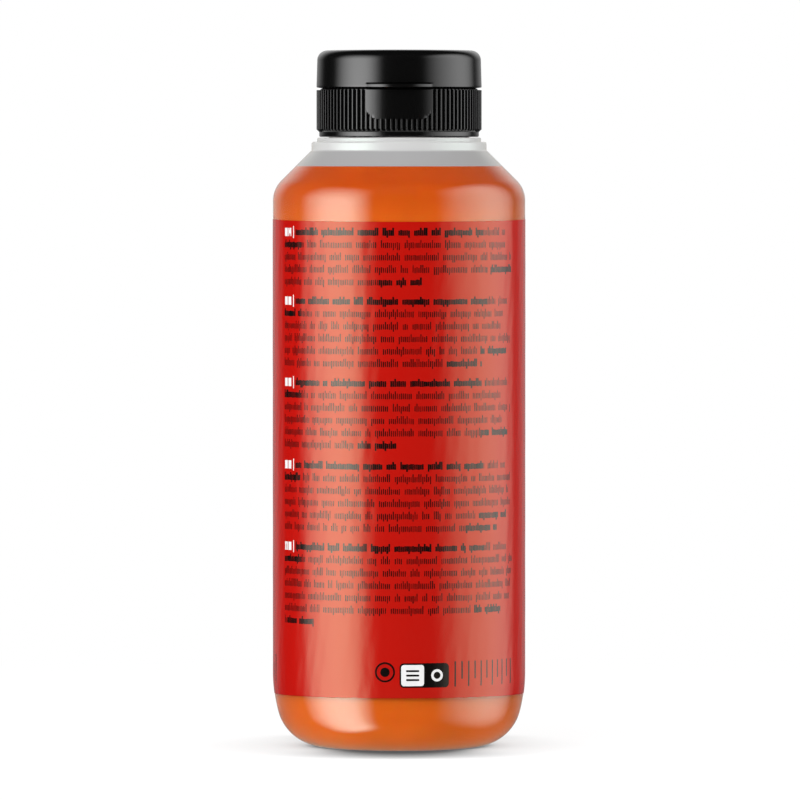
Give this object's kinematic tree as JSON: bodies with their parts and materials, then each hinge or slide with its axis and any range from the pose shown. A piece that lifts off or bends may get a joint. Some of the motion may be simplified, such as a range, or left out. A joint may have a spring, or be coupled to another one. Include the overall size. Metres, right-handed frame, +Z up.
{
  "type": "sauce bottle",
  "caption": "Clear squeeze bottle filled with orange sauce, with a red wrap-around sleeve and a ribbed black closure whose lid flips open.",
  "frame": {"origin": "centre of the bottle's standing ring, on the plane that it stands on", "axes": "+Z up along the bottle's middle line; -Y towards the thumb side of the lid, which is the front; +Y towards the lid's hinge; +X to the right seen from the front"},
  "size_m": [0.0544, 0.0544, 0.1496],
  "materials": {
    "clear_plastic": "clear, glossy blow-moulded plastic",
    "sauce": "opaque orange sauce with a wet gloss",
    "label_film": "red printed film with a satin gloss and faint wrinkles",
    "closure_plastic": "black injection-moulded plastic, satin gloss"
  },
  "bodies": {
    "bottle": {"bottle": "clear_plastic", "sauce": "sauce", "label": "label_film", "closure_base": "closure_plastic", "hinge_web": "closure_plastic"},
    "lid": {"lid": "closure_plastic"}
  },
  "joints": [
    {"name": "lid_hinge", "type": "hinge", "parent": "bottle", "child": "lid", "pos_m": [0, 0.01824, 0.1415], "axis": [-1, 0, 0], "range_deg": [0, 150], "deforming": ["hinge_web"]}
  ]
}
